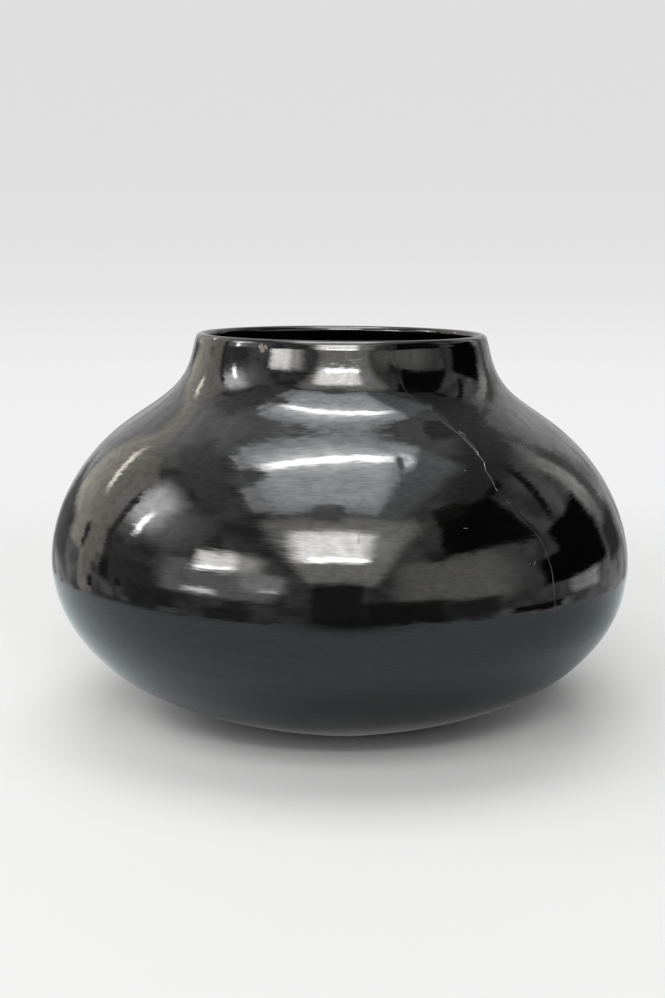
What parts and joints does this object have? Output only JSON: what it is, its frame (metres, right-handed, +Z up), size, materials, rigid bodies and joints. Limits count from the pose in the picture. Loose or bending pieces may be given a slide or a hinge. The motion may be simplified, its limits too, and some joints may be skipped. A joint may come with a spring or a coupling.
{
  "type": "pottery jar",
  "caption": "Squat, round-bellied black clay jar with a short upright neck, coil built, slipped and stone polished. It stands on a flat ring and holds dry goods.",
  "frame": {"origin": "centre of the resting ring, on the floor on the jar's axis", "axes": "+Z up along the jar's axis, out of the mouth; -Y is the side the picture shows"},
  "size_m": [0.27, 0.27, 0.181],
  "materials": {
    "fired_clay": "smoothed, matte, smoke blackened",
    "polished_slip": "stone polished, glossy black"
  },
  "bodies": {
    "root": {"base_pad": "fired_clay", "flank_coil_1": "fired_clay", "flank_coil_2": "fired_clay", "flank_coil_3": "fired_clay", "belly_coil_1": "fired_clay", "belly_coil_2": "fired_clay", "shoulder_coil_1": "fired_clay", "shoulder_coil_2": "fired_clay", "shoulder_coil_3": "fired_clay", "neck_coil_1": "fired_clay", "neck_coil_2": "fired_clay", "rim_coil": "fired_clay", "polished_slip": "polished_slip"}
  },
  "joints": []
}
